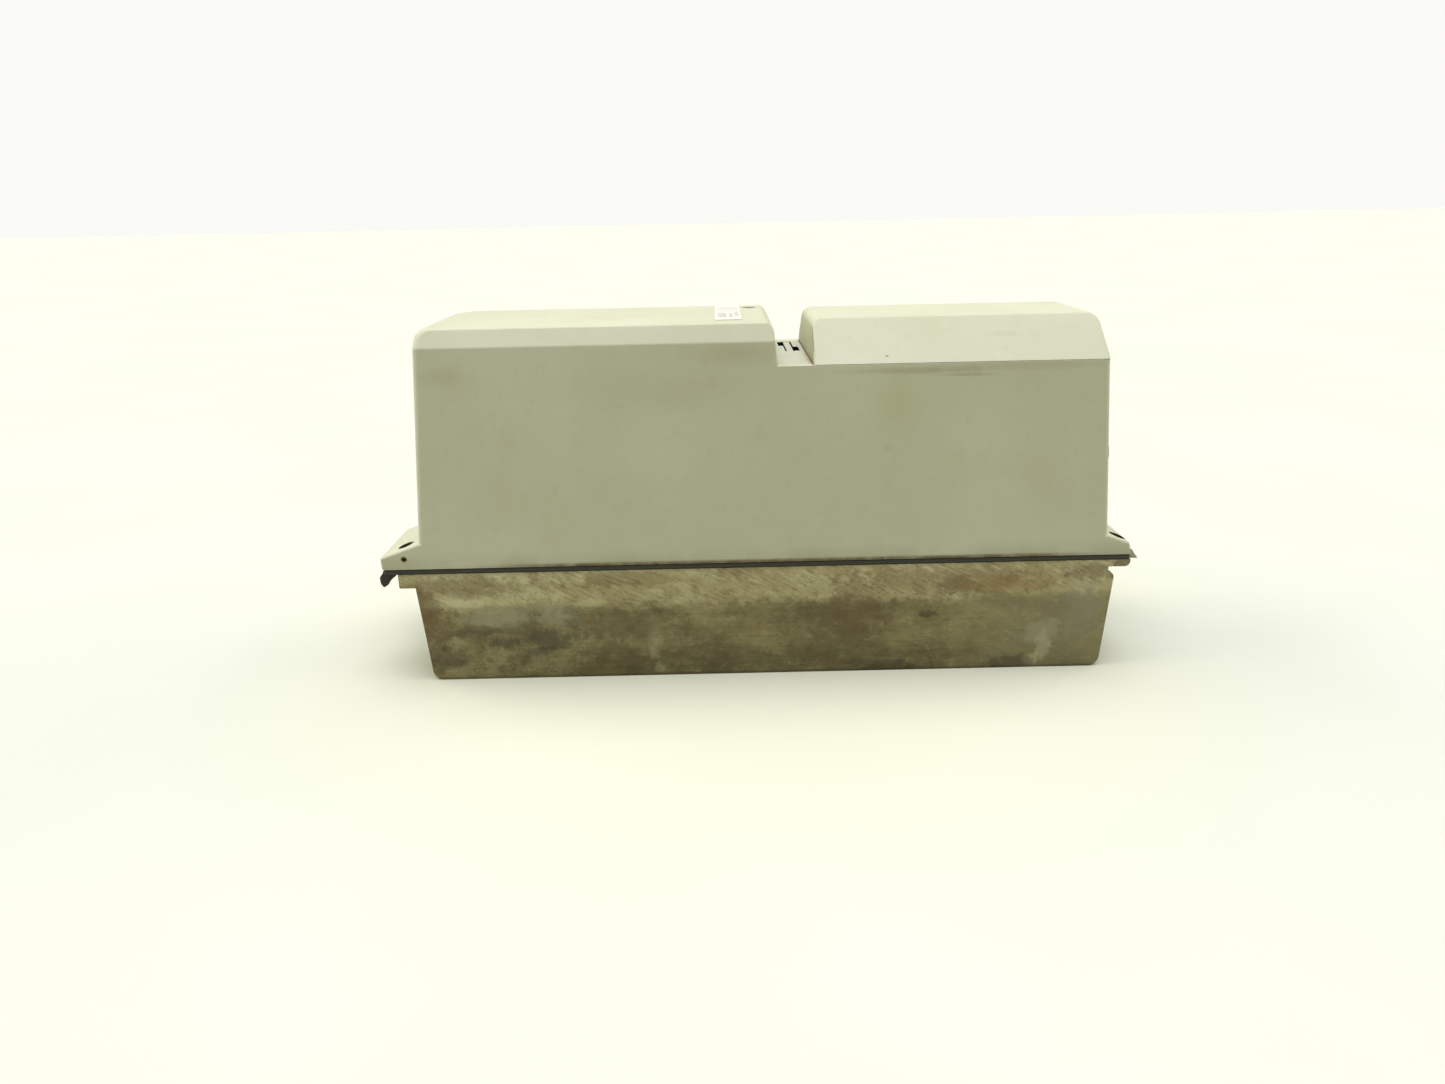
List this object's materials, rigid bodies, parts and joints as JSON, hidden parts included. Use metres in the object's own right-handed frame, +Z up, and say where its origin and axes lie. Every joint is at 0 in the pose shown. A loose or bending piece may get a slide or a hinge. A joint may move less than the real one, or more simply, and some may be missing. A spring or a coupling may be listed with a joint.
{
  "type": "variable frequency drive",
  "caption": "Sealed variable frequency drive lying on its fins: finned aluminium base, gasket, tall drafted plastic cover with fixing lugs, and a tilting terminal lid.",
  "frame": {"origin": "centre of the bounding box's bottom face, on the surface that the fin tips stand on", "axes": "+X along the drive towards the terminal lid, +Y across it, +Z up from the fins to the cover's tops"},
  "size_m": [0.352, 0.094, 0.1666],
  "materials": {
    "cover_plastic": "satin moulded, slightly dirty",
    "gasket_rubber": "matt, weathered",
    "heatsink_aluminium": "milled, stained",
    "thermal_pad": "soft matt",
    "black_plastic": "matt moulded",
    "zinc_steel": "dull zinc",
    "brass": "turned",
    "circuit_board": "solder mask",
    "capacitor_sleeve": "shrink sleeve",
    "copper_winding": "enamelled wire",
    "blue_plastic": "satin",
    "terminal_plastic": "satin",
    "white_plastic": "satin",
    "ribbon_sheath": "satin",
    "lens_plastic": "clear smoked",
    "label_film": "satin print film",
    "plug_plastic": "satin"
  },
  "bodies": {
    "base": {"heatsink": "heatsink_aluminium", "base_gasket": "gasket_rubber", "thermal_pad": "thermal_pad", "power_module": "black_plastic", "module_screw_1": "zinc_steel", "module_screw_2": "zinc_steel", "earth_screw": "brass", "board_post_1": "brass", "board_post_2": "brass", "board_post_3": "brass", "board_post_4": "brass", "board_post_5": "brass", "board_post_6": "brass", "power_board": "circuit_board", "bus_capacitor_1": "capacitor_sleeve", "bus_capacitor_2": "capacitor_sleeve", "bus_capacitor_3": "capacitor_sleeve", "bus_capacitor_4": "capacitor_sleeve", "filter_choke": "copper_winding", "inrush_relay": "blue_plastic", "current_sensor_1": "black_plastic", "current_sensor_2": "black_plastic", "power_terminals": "terminal_plastic", "terminal_screw_1": "zinc_steel", "terminal_screw_2": "zinc_steel", "terminal_screw_3": "zinc_steel", "terminal_screw_4": "zinc_steel", "terminal_screw_5": "zinc_steel", "terminal_screw_6": "zinc_steel", "lower_header": "white_plastic", "upper_header": "white_plastic", "ribbon_cable": "ribbon_sheath", "board_pillar_1": "brass", "board_pillar_2": "brass", "board_pillar_3": "brass", "board_pillar_4": "brass", "control_board": "circuit_board", "control_terminals": "terminal_plastic", "processor": "black_plastic", "status_led": "lens_plastic", "trimmer_body": "blue_plastic", "mode_jumper": "black_plastic"},
    "cover": {"main_cover": "cover_plastic", "cover_screw_1": "zinc_steel", "cover_screw_2": "zinc_steel", "cover_screw_3": "zinc_steel", "cover_screw_4": "zinc_steel", "rating_label": "label_film", "light_pipe": "lens_plastic", "entry_plug_1": "plug_plastic", "entry_plug_2": "plug_plastic", "entry_plug_3": "plug_plastic", "entry_nut_1": "plug_plastic", "entry_nut_2": "plug_plastic", "entry_nut_3": "plug_plastic", "lid_seal": "gasket_rubber"},
    "lid": {"terminal_lid": "cover_plastic"},
    "latch": {"latch_tongue": "cover_plastic"},
    "trimmer": {"trimmer_rotor": "white_plastic"}
  },
  "joints": [
    {"name": "cover_lift", "type": "slide", "parent": "base", "child": "cover", "axis": [0, 0, 1], "range_m": [0, 0.14]},
    {"name": "lid_tilt", "type": "hinge", "parent": "cover", "child": "lid", "pos_m": [0.1575, 0, 0.1481], "axis": [0, 1, 0], "range_deg": [0, 80]},
    {"name": "tongue_press", "type": "hinge", "parent": "cover", "child": "latch", "pos_m": [0.01875, 0.04, 0.1423], "axis": [1, 0, 0], "range_deg": [0, 4], "stiffness_Nm_per_rad": 0.05},
    {"name": "trimmer_turn", "type": "hinge", "parent": "base", "child": "trimmer", "pos_m": [0.06, 0.018, 0.126], "axis": [0, 0, 1], "range_deg": [-135, 135]}
  ]
}
